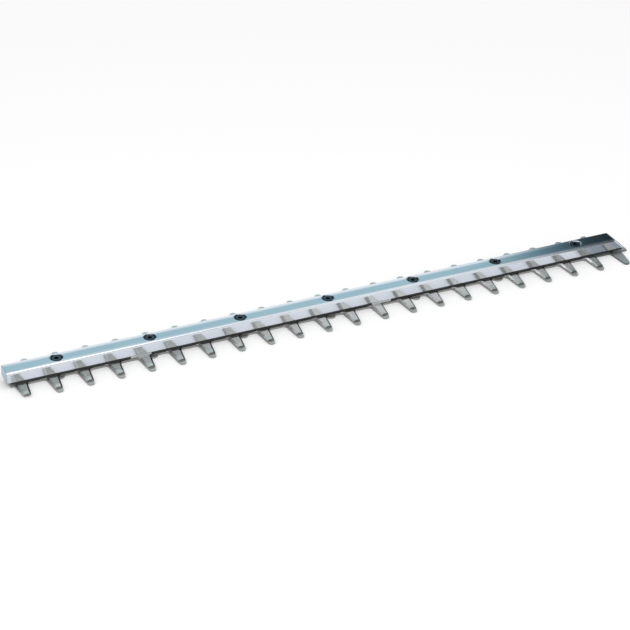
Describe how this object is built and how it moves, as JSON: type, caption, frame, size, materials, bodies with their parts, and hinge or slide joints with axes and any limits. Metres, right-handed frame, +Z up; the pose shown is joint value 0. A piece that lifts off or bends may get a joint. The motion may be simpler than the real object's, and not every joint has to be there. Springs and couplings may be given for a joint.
{
  "type": "hedge trimmer blade",
  "caption": "Double-sided hedge trimmer blade: a channel rail over a fixed comb blade, with a toothed cutter that slides between them.",
  "frame": {"origin": "middle of the overall length, on the centre line, on the comb's underside", "axes": "+X along the blade towards the nose, +Y towards the back row of teeth, +Z up out of the rail's top"},
  "size_m": [0.6564, 0.0656, 0.0171],
  "materials": {
    "rail_steel": "bright zinc plate",
    "blade_steel": "ground",
    "cutter_steel": "ground, bevels honed",
    "black_nylon": "moulded",
    "grey_acetal": "moulded",
    "black_screw_steel": "black oxide",
    "spacer_steel": "turned",
    "bush_steel": "hardened and ground"
  },
  "bodies": {
    "carrier": {"guide_rail": "rail_steel", "comb_blade": "blade_steel", "wear_strip_front_1": "black_nylon", "wear_strip_front_2": "black_nylon", "wear_strip_front_3": "black_nylon", "wear_strip_back_1": "black_nylon", "wear_strip_back_2": "black_nylon", "wear_strip_back_3": "black_nylon", "slide_pad_front_1": "grey_acetal", "slide_pad_front_2": "grey_acetal", "slide_pad_back_1": "grey_acetal", "slide_pad_back_2": "grey_acetal", "clamp_screw_1": "black_screw_steel", "clamp_screw_2": "black_screw_steel", "clamp_screw_3": "black_screw_steel", "clamp_screw_4": "black_screw_steel", "clamp_screw_5": "black_screw_steel", "clamp_screw_6": "black_screw_steel", "clamp_screw_7": "black_screw_steel", "rail_spacer_1": "spacer_steel", "rail_spacer_2": "spacer_steel", "rail_spacer_3": "spacer_steel", "rail_spacer_4": "spacer_steel", "rail_spacer_5": "spacer_steel", "rail_spacer_6": "spacer_steel", "rail_spacer_7": "spacer_steel", "guide_bush_1": "bush_steel", "guide_bush_2": "bush_steel", "guide_bush_3": "bush_steel", "guide_bush_4": "bush_steel", "guide_bush_5": "bush_steel", "guide_bush_6": "bush_steel", "guide_bush_7": "bush_steel"},
    "cutter": {"cutter_blade": "cutter_steel"}
  },
  "joints": [
    {"name": "cutter_slide", "type": "slide", "parent": "carrier", "child": "cutter", "axis": [1, 0, 0], "range_m": [0, 0.03]}
  ]
}
